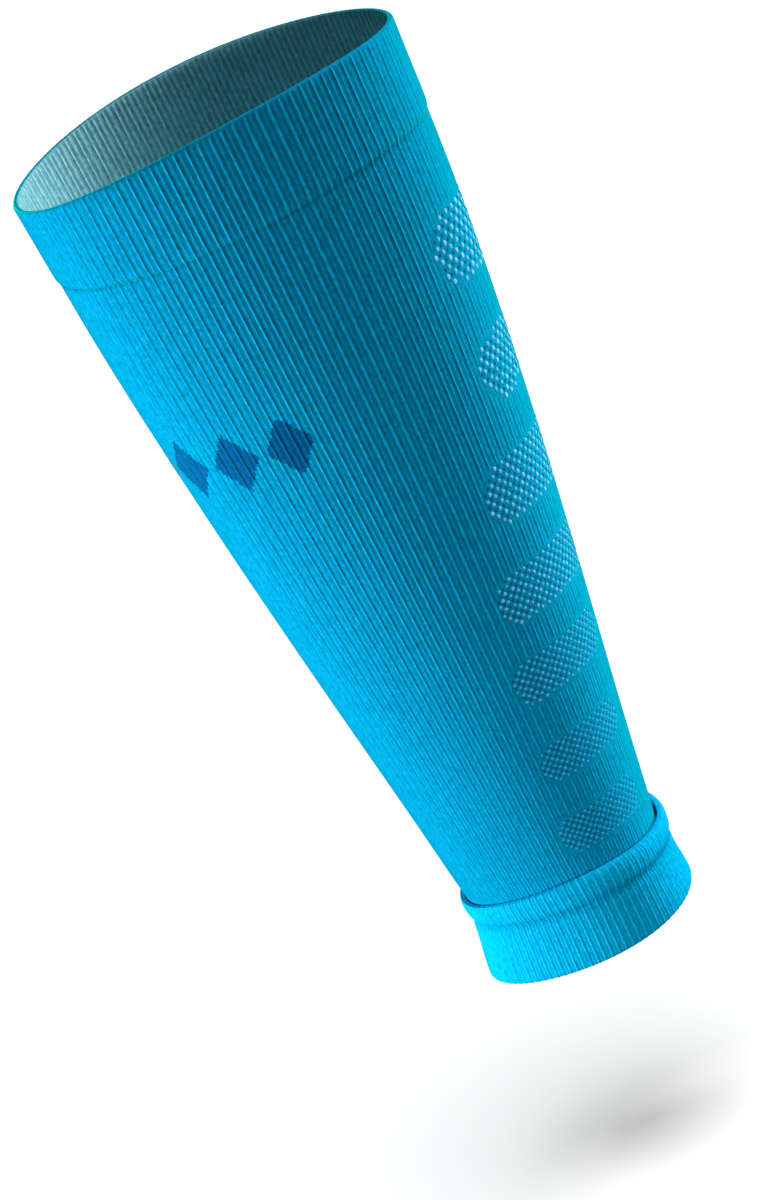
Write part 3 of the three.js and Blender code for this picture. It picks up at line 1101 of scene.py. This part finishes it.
@dataclass
class TopBand:
    """The doubled welt round the top, a little proud of the tube and folded over at the rim.

    foot_sink is how deep its foot starts, as a share of the ribs' depth. edge_steps are places on
    its rounded lower edge, with how much of its proudness is still missing there. inner_from is
    how far round the fold the inner face begins.
    """

    form: LegForm
    knit: Knit
    height: float = 30 * MM
    wall: float = 2.2 * MM
    proud: float = 0.4 * MM
    bulge: float = 0.25 * MM
    edge: float = 4.0 * MM
    foot_sink: float = 1.1
    edge_steps: tuple[tuple[float, float], ...] = ((0.2, 0.75), (0.5, 0.15))
    fold_relief: float = 0.3
    inner_relief: float = 0.75
    inner_from: float = 0.72
    rows: int = 12
    fold_steps: int = 9

    def rings(self) -> list[Ring]:
        """Lists the band's rings, up the outer face, over the rim and down the inner face."""
        bottom = self.form.length - self.height
        shoulder = self.form.length - self.wall / 2
        outer, inner = self.proud + self.bulge - self.knit.rib_depth, self.proud - self.wall
        rings = [Ring(bottom, -self.foot_sink * self.knit.rib_depth)]
        for rise, missing in self.edge_steps:
            rings.append(Ring(bottom + self.edge * rise, outer - self.proud * missing))
        for z in np.linspace(bottom + self.edge, shoulder, self.rows):
            rings.append(Ring(z, outer, rim=self.rim_at(z)))
        radius, middle = (outer - inner) / 2, (outer + inner) / 2
        for step in range(1, self.fold_steps):
            angle = math.pi * step / self.fold_steps
            z = shoulder + radius * math.sin(angle)
            face = Face.OUT if angle < math.pi * self.inner_from else Face.IN
            side = middle + radius * math.cos(angle)
            rings.append(Ring(z, side, relief=self.fold_relief, face=face, rim=1.0))
        for z in np.linspace(shoulder, bottom, self.rows):
            rings.append(Ring(z, inner, relief=self.inner_relief, face=Face.IN, rim=self.rim_at(z)))
        return rings

    def rim_at(self, height: float) -> float:
        """How much of the rim's crown and tilt a height takes."""
        bottom = self.form.length - self.height
        return float(np.clip((height - bottom) / (self.height - self.wall / 2), 0, 1))

    def build(self) -> Shape:
        """Builds and dresses the band."""
        band = self.knit.shell("top_band_welt", self.form, self.rings())
        # Painted shade along the band's lower edge, under its ledge.
        finish = KnitFinish("band knit", painted_shade_height=self.form.length - self.height)
        RibKnit(self.knit).apply(band, finish.material())
        smooth(band)
        dress(band, "top_band")
        girth = self.form.girth_at(self.form.length - self.height / 2)
        return band


def capsule_body(
    name: str, form: LegForm, vent: Vent, tall: float, clearance: float, inner: float, outer: float
) -> Shape:
    """Builds a capsule that wraps round the leg between two stand-offs.

    Args:
        name: The object's name.
        form: The leg's form.
        vent: The vent that it fills or cuts.
        tall: The tallest vent's height.
        clearance: How far its outline stays inside the vent's.
        inner: The inner face's stand-off.
        outer: The outer face's stand-off.

    Returns:
        The closed body. Its outer face has its places on the cloth as its map, and the other
        faces have theirs HIDDEN_SHIFT further along. The attribute inner is 1 on the inner face.
    """
    arc_steps, straight_steps, rows, first_angle = 14, 44, 12, 0.02
    middle = vent.rise * form.length
    girth = form.girth_at(middle)
    radius = vent.height * tall / 2 - clearance
    start, end = vent.rear * girth + clearance, vent.front * girth - clearance
    angles = np.linspace(first_angle, math.pi / 2, arc_steps)
    inset, half = radius * (1 - np.cos(angles)), radius * np.sin(angles)
    straight = np.linspace(radius, end - start - radius, straight_steps)[1:-1]
    along = np.concatenate([inset, straight, (end - start - inset)[::-1]])
    halves = np.concatenate([half, np.full_like(straight, radius), half[::-1]])
    share = np.broadcast_to(((start + along) / girth)[:, None], (len(along), rows + 1))
    height = middle + halves[:, None] * np.linspace(-1, 1, rows + 1)[None, :]
    sides = [form.wrap(share, height, offset) for offset in (outer, inner)]
    loops = np.concatenate([sides[0], sides[1][:, ::-1]], 1)
    places = np.stack([share, height], -1)
    maps = np.concatenate([places, places[:, ::-1]], 1)
    count, width = loops.shape[:2]
    numbers = np.arange(count * width).reshape(count, width)
    turned = np.roll(numbers, -1, 1)
    faces = np.stack([numbers[:-1], numbers[1:], turned[1:], turned[:-1]], -1).reshape(-1, 4)
    lids = []
    for loop, way in ((0, 1), (count - 1, -1)):
        ring = numbers[loop][::-way]
        lids += [(ring[k], ring[k + 1], ring[width - 2 - k], ring[width - 1 - k]) for k in range(rows)]
    faces = np.concatenate([faces, np.array(lids)])[:, ::-1]
    hidden = (faces % width > rows).any(axis=1)
    uvs = maps.reshape(-1, 2)[faces] + hidden[:, None, None] * np.array([HIDDEN_SHIFT, 0.0])
    body = mesh_object(name, loops.reshape(-1, 3), faces, uvs)
    set_attribute(body.data, "inner", numbers % width > rows)
    return body


@dataclass
class CalfTube:
    """The rib-knit tube that follows the leg, with a window through its wall for each vent.

    row_clearance is how near a window's rows an even row may come, as a share of row_pitch. The
    ribs have low_relief up to low_until and all their depth above full_from, and they rise from
    flat between flat_until and fade outside each window.
    """

    form: LegForm
    knit: Knit
    cuff_leg: float = 6 * MM
    band_height: float = 30 * MM
    vent_height: float = 26 * MM
    row_pitch: float = 4.2 * MM
    row_clearance: float = 0.35
    inner_pitch: float = 14 * MM
    inner_relief: float = 0.6
    low_relief: float = 0.6
    low_until: float = 50 * MM
    full_from: float = 170 * MM
    window_reach: float = 4 * MM
    edge_row: float = 0.1 * MM
    flat_until: float = 0.15 * MM
    fade: float = 1.3 * MM

    def rings(self) -> list[Ring]:
        """Lists the tube's rings, with rows beside each window's edges."""
        bottom = self.cuff_leg + self.knit.seam
        top = self.form.length - self.band_height - self.knit.seam
        even = np.linspace(bottom, top, round((top - bottom) / self.row_pitch))
        edges = [
            vent.rise * self.form.length + way * (vent.height * self.vent_height / 2 + past)
            for vent in VENTS
            for way in (-1, 1)
            for past in (self.edge_row, self.fade)
        ]
        least = self.row_clearance * self.row_pitch
        free = [z for z in even if min(abs(z - edge) for edge in edges) > least]
        free = sorted({bottom, top, *free, *edges})
        rise = smoothstep(np.array(free), self.low_until, self.full_from)
        eased = self.low_relief + (1 - self.low_relief) * rise
        rings = [Ring(z, -self.knit.rib_depth, relief=float(part)) for z, part in zip(free, eased)]
        for z in np.linspace(top, bottom, round((top - bottom) / self.inner_pitch)):
            rings.append(Ring(z, -self.knit.wall, relief=self.inner_relief, face=Face.IN))
        return rings

    def build(self) -> Shape:
        """Builds and dresses the tube."""
        tube = self.knit.shell("calf_tube_knit", self.form, self.rings())
        inner, outer = -self.knit.wall - self.window_reach, self.window_reach
        windows = [
            capsule_body(f"window_{k}", self.form, vent, self.vent_height, 0.0, inner, outer)
            for k, vent in enumerate(VENTS)
        ]
        cut(tube, windows)
        self.restore(tube.data)
        edge = self.form.length - self.band_height
        # Painted shadow on the tube just under the band's ledge.
        finish = KnitFinish("rib knit", motif=Motif(), painted_shade_height=edge)
        RibKnit(self.knit).apply(tube, finish.material())
        smooth(tube)
        dress(tube, "calf_tube")
        self.form.girth_at(self.form.length / 2)
        return tube

    def restore(self, mesh: bpy.types.Mesh) -> None:
        """Gives the windows' new vertices their share and face, and flattens the ribs there."""
        corners = np.zeros(len(mesh.loops), np.int32)
        mesh.loops.foreach_get("vertex_index", corners)
        places = np.zeros(2 * len(mesh.loops), np.float32)
        mesh.uv_layers[UV_NAME].data.foreach_get("uv", places)
        share = np.zeros(len(mesh.vertices))
        share[corners] = places[0::2]
        share = np.where(share > HIDDEN_SHIFT / 2, share - HIDDEN_SHIFT, share)
        set_attribute(mesh, "share", share)
        points = np.zeros(3 * len(mesh.vertices), np.float32)
        mesh.vertices.foreach_get("co", points)
        points = points.reshape(-1, 3)
        depths = (self.knit.rib_depth, self.knit.wall)
        faces = [self.form.wrap(share, points[:, 2], -depth) for depth in depths]
        outer, inner = (np.linalg.norm(points - face, axis=1) for face in faces)
        set_attribute(mesh, "inner", inner < outer)
        raised = smoothstep(self.distance(share, points[:, 2]), self.flat_until, self.fade)
        set_attribute(mesh, "relief", get_attribute(mesh, "relief") * raised)

    def distance(self, share: Array, height: Array) -> Array:
        """How far places of the cloth lie outside the nearest window."""
        nearest = np.full(len(share), 1.0)
        for vent in VENTS:
            middle = vent.rise * self.form.length
            girth = self.form.girth_at(middle)
            radius = vent.height * self.vent_height / 2
            centre, half = (vent.rear + vent.front) / 2, (vent.front - vent.rear) / 2 * girth
            across = (share - centre + 0.5) % 1.0 - 0.5
            past = np.maximum(np.abs(across) * girth - (half - radius), 0)
            nearest = np.minimum(nearest, np.hypot(past, height - middle) - radius)
        return nearest


@dataclass
class AnkleCuff:
    """The cuff: a J in section, turned up outside the tube, with a free lip and a hem ridge.

    face_table lists rises, with the shares of the flare and of the hem ridge there. lip_over is
    how far over the cuff's height the lip's two round-off rings stand, with their shares of the
    flare. back_flare is the flare of the turned-up wall's back, and inner_from is how far round
    the fold the inner face begins.
    """

    form: LegForm
    knit: Knit
    height: float = 31 * MM
    wall: float = 1.6 * MM
    gap: float = 0.6 * MM
    leg: float = 6 * MM
    lip_flare: float = 0.5 * MM
    lip_skew: float = 0.55 * MM
    lip_hug: float = 0.75 * MM
    hem_ridge: float = 0.62 * MM
    side_flare: float = 0.3
    lip_over: tuple[tuple[float, float], ...] = ((1.018, 0.7), (1.022, 0.6))
    lip_outer: float = 0.4
    lip_inner: float = 0.9
    back_flare: float = 0.6
    wall_relief: float = 0.62
    lip_relief: float = 0.4
    back_relief: float = 0.3
    fold_relief: float = 0.55
    fold_sink: float = 0.8
    inner_from: float = 0.75
    rows: int = 30
    fold_steps: int = 10
    inner_rows: int = 9
    face_table: tuple[tuple[float, float, float], ...] = (
        (0.055, 0.0, 0.0),
        (0.16, 0.1, 0.2),
        (0.48, 0.3, 0.1),
        (0.60, 0.6, 0.1),
        (0.69, 0.8, -0.7),
        (0.77, 1.0, 0.6),
        (0.87, 1.0, 1.0),
        (0.96, 1.0, 0.5),
        (1.00, 1.0, -0.3),
    )

    def rings(self) -> list[Ring]:
        """Lists the cuff's rings, from the lip's inner edge down, round the fold and up again."""
        radius = (self.gap + self.wall + self.knit.wall) / 2
        rises, table = [row[0] for row in self.face_table], [row[1:] for row in self.face_table]
        wanted = np.linspace(rises[0], 1.0, self.rows)
        off = self.gap + self.wall - self.knit.rib_depth
        rings = [
            self.wall_ring(rise, flare, ridge, off, self.wall_relief)
            for rise, (flare, ridge) in zip(wanted, smooth_curve(rises, table, wanted))
        ]
        lip_off, back_off = self.gap + self.wall * self.lip_outer, self.gap - self.lip_hug * self.lip_inner
        for (rise, flare), off, relief in zip(
            self.lip_over, (lip_off, back_off), (self.lip_relief, self.back_relief)
        ):
            rings.append(self.wall_ring(rise, flare, 0.0, off, relief))
        wanted = np.linspace(1.0, rises[0], self.inner_rows)
        for rise, (flare, _) in zip(wanted, smooth_curve(rises, table, wanted)):
            off = self.gap - self.lip_hug * flare
            rings.append(self.wall_ring(rise, self.back_flare * flare, 0.0, off, self.back_relief))
        rings.append(Ring(radius, 0.0, relief=0.0, face=Face.IN, fold=1.0))
        rings.append(Ring(self.leg, 0.0, relief=0.0, face=Face.IN))
        rings.append(Ring(self.leg, -self.knit.wall, relief=self.back_relief, face=Face.IN))
        middle = self.gap + self.wall - radius
        for step in range(self.fold_steps, 0, -1):
            angle = math.pi * step / self.fold_steps
            z = radius * (1 - math.sin(angle))
            side = middle + (radius - self.knit.rib_depth * self.fold_sink) * math.cos(angle)
            face = Face.IN if angle > math.pi * self.inner_from else Face.OUT
            rings.append(Ring(z, side, relief=self.fold_relief, face=face, fold=1.0))
        return rings

    def wall_ring(self, rise: float, flare: float, ridge: float, off: float, relief: float) -> Ring:
        """Makes a ring of the turned-up wall.

        Args:
            rise: Its height, a share of the cuff's.
            flare: Its share of the lip's flare.
            ridge: Its share of the hem ridge.
            off: Its stand-off without flare and ridge.
            relief: How much of the ribs' depth it has.

        Returns:
            The ring.
        """
        base = off + ridge * self.hem_ridge
        side, front = (base + flare * self.lip_flare * part for part in (self.side_flare, 1.0))
        lip, fold = rise**2, (1 - min(rise, 1.0)) ** 2
        return Ring(
            rise * self.height, side, front, relief, lip=lip, fold=fold, skew=flare * self.lip_skew
        )

    def build(self) -> Shape:
        """Builds and dresses the cuff."""
        cuff = self.knit.shell("ankle_cuff_turnup", self.form, self.rings())
        ribs = RibKnit(self.knit, ridge_height=0.26 * MM, ridge_share=0.24, wale_height=0.12 * MM)
        finish = KnitFinish(
            "cuff knit",
            # The cuff's paler yarn, with the same painted shade in the valleys and painted highlight on
            # the crests.
            valley=(0.0010, 0.335, 0.595),
            crest=(0.0014, 0.395, 0.695),
            ridge_share=0.22,
            # The painted shade beside each crest, wider and lighter on the cuff.
            groove_shade_shares=(0.14, 0.28, 0.42),
            groove_shade_depth=0.15,
            # Painted shade in the hollow below the cuff's hem ridge.
            painted_shade_height=0.70 * self.height,
            painted_shade_width=3.4 * MM,
            painted_shade_depth=0.18,
            sheen=0.0,
        )
        ribs.apply(cuff, finish.material())
        smooth(cuff)
        dress(cuff, "ankle_cuff")
        girth = self.form.girth_at(self.height / 2)
        return cuff


@dataclass
class MeshZone:
    """An open-knit vent let into a window of the tube."""

    form: LegForm
    knit: Knit
    vent: Vent
    number: int
    tall: float = 26 * MM
    wall: float = 0.8 * MM
    clearance: float = -0.05 * MM
    proud: float = 0.03 * MM

    def build(self, ground: Material, yarn: Material) -> list[Shape]:
        """Builds and dresses the vent's panel and the net on it.

        Args:
            ground: The panel's finish.
            yarn: The net's finish.

        Returns:
            The panel and the net.
        """
        name = f"mesh_zone_{self.number}"
        outer = self.proud - self.knit.rib_depth
        panel, net = (
            capsule_body(
                f"{name}_{part}", self.form, self.vent, self.tall, self.clearance, outer - self.wall, outer
            )
            for part in ("ground", "net")
        )
        VentNet(self.knit).apply(net, self.form, self.vent, self.tall, yarn)
        panel.data.materials.append(ground)
        smooth(panel)
        dress(panel, name)
        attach(net, BODY)
        width = (self.vent.front - self.vent.rear) * self.form.girth_at(self.vent.rise * self.form.length)
        return [panel, net]


@dataclass(frozen=True)
class SoftBox:
    """A soft rectangular light that stands round the sleeve and looks at it."""

    name: str
    azimuth: float
    elevation: float
    distance: float
    width: float
    height: float
    power: float
    lowered: float = 0.0

    def place(self, aim: Vector) -> Shape:
        """Sets the light up."""
        data = bpy.data.lights.new(self.name, "AREA")
        data.shape, data.size, data.size_y, data.energy = "RECTANGLE", self.width, self.height, self.power
        turn, rise = math.radians(self.azimuth), math.radians(self.elevation)
        back = Vector((math.sin(turn) * math.cos(rise), -math.cos(turn) * math.cos(rise), math.sin(rise)))
        light = add_object(self.name, data)
        centre = aim - Vector((0.0, 0.0, self.lowered))
        turned = (-back).to_track_quat("-Z", "Y").to_matrix()
        light.matrix_world = Matrix.Translation(centre + back * self.distance) @ turned.to_4x4()
        return light


@dataclass
class Studio:
    """The floor, the lights, the backdrop's white and the camera at the photograph's angle."""

    aim: Vector = field(default_factory=lambda: Vector((0.0, 0.0, 0.155)))
    elevation: float = 22.0
    distance: float = 1.8
    roll: float = 25.66
    lens: float = 169.06
    sensor: float = 36.0
    aim_right: float = -5.7 * MM
    aim_up: float = -22.6 * MM
    floor_height: float = -86 * MM
    floor_half: float = 6.0
    boxes: tuple[SoftBox, ...] = (
        SoftBox("left box", -76.0, -3.0, 0.9, 0.5, 0.36, 18.8),
        SoftBox("high box", 99.0, 38.0, 1.0, 0.5, 0.5, 13.5),
        SoftBox("low calf box", 105.0, 0.0, 0.4, 0.2, 0.14, 0.8, 0.13),
        SoftBox("low right box", 53.0, 0.0, 0.4, 0.2, 0.14, 0.75, 0.13),
        SoftBox("back box", 180.0, -3.0, 1.3, 0.8, 0.36, 6.0),
    )
    floor_glow: float = 0.42
    floor_colour: float = 0.8
    floor_dim: float = 0.05
    sky_dim: float = 0.02
    sun_power: float = 3.1
    sun_spread: float = 38.0
    sun_lean: float = 14.0
    sun_turn: float = -52.0

    def build(self) -> None:
        """Sets the whole studio up."""
        self.camera()
        floor = self.floor()
        self.backdrop()
        self.light_for(floor, "floor only", "INCLUDE", [self.sun()])
        self.light_for(floor, "sleeve only", "EXCLUDE", [box.place(self.aim) for box in self.boxes])
        bpy.context.scene.view_settings.view_transform = "Standard"

    def camera(self) -> None:
        """Stands the camera where the photograph's was, rolled as it was."""
        rise, roll = math.radians(self.elevation), math.radians(self.roll)
        back = Vector((0.0, -math.cos(rise), math.sin(rise)))
        level, upright = Vector((1.0, 0.0, 0.0)), Vector((0.0, math.sin(rise), math.cos(rise)))
        right = math.cos(roll) * level - math.sin(roll) * upright
        up = math.sin(roll) * level + math.cos(roll) * upright
        place = self.aim + self.distance * back
        look = (self.aim + self.aim_right * right + self.aim_up * up - place).normalized()
        right = look.cross(up).normalized()
        up = right.cross(look)
        data = bpy.data.cameras.new("camera")
        data.sensor_fit, data.sensor_height, data.lens = "VERTICAL", self.sensor, self.lens
        data.dof.use_dof = False
        camera = add_object("camera", data)
        turned = Matrix((right, up, -look)).transposed()
        camera.matrix_world = Matrix.Translation(place) @ turned.to_4x4()
        bpy.context.scene.camera = camera

    def light_for(self, floor: Shape, name: str, state: str, lights: list[Shape]) -> None:
        """Makes lights fall on the floor alone, or on all but the floor.

        Args:
            floor: The floor.
            name: The name for the lights' receivers.
            state: INCLUDE for the floor alone and EXCLUDE for all but the floor.
            lights: The lights.
        """
        receivers = bpy.data.collections.new(name)
        receivers.objects.link(floor)
        receivers.collection_objects[0].light_linking.link_state = state
        for light in lights:
            light.light_linking.receiver_collection = receivers

    def floor(self) -> Shape:
        """Lays a plain pale floor below the sleeve, which glows a little to the camera alone."""
        mesh = bpy.data.meshes.new("floor")
        ways = ((-1, -1), (1, -1), (1, 1), (-1, 1))
        corners = [(x * self.floor_half, y * self.floor_half, self.floor_height) for x, y in ways]
        mesh.from_pydata(corners, [], [(0, 1, 2, 3)])
        floor = add_object("floor", mesh)
        tree = FinishTree("floor")
        matt, dim = (
            tree.out("ShaderNodeBsdfDiffuse", {0: (grey, grey, grey, 1.0)})
            for grey in (self.floor_colour, self.floor_dim)
        )
        glow = tree.out("ShaderNodeEmission", {0: WHITE, 1: self.floor_glow})
        pale = tree.out("ShaderNodeAddShader", {0: matt, 1: glow})
        mesh.materials.append(tree.finish(tree.by_ray(pale, dim)))
        return floor

    def sun(self) -> Shape:
        """Hangs a wide soft light over the calf's side, which leaves a soft shadow on the floor."""
        data = bpy.data.lights.new("sun", "SUN")
        data.energy, data.angle = self.sun_power, math.radians(self.sun_spread)
        light = add_object("sun", data)
        light.rotation_euler = (0.0, math.radians(self.sun_lean), math.radians(self.sun_turn))
        return light

    def backdrop(self) -> None:
        """Makes the surroundings white to the camera and dim to the sleeve."""
        world = bpy.data.worlds.new("studio")
        world.use_nodes = True
        tree = Tree(world.node_tree)
        white, dim = (
            tree.out("ShaderNodeBackground", {0: WHITE, 1: strength}) for strength in (1.0, self.sky_dim)
        )
        tree.node("ShaderNodeOutputWorld", {0: tree.by_ray(white, dim)})
        bpy.context.scene.world = world


def report(pieces: list[Shape]) -> None:
    """Logs each piece with its number of faces."""
    for piece in pieces:
        log.info("%s: %d faces", piece.name, len(piece.data.polygons))


def main() -> None:
    """Builds the studio and the sleeve's sub-assemblies in order."""
    logging.basicConfig(level=logging.INFO, format="%(message)s")
    form, knit = LegForm(), Knit()
    Studio().build()
    report([TopBand(form, knit).build()])
    report([CalfTube(form, knit).build()])
    report([AnkleCuff(form, knit).build()])
    # The vents' ground knit, with the same painted highlight and painted shade in its colours as the other
    # knits.
    ground = KnitFinish("vent ground", valley=(0.0008, 0.225, 0.430), stitches_round=336).material()
    yarn = YarnFinish("vent yarn").material()
    for number, vent in enumerate(VENTS, 1):
        report(MeshZone(form, knit, vent, number).build(ground, yarn))


if __name__ == "__main__":
    main()
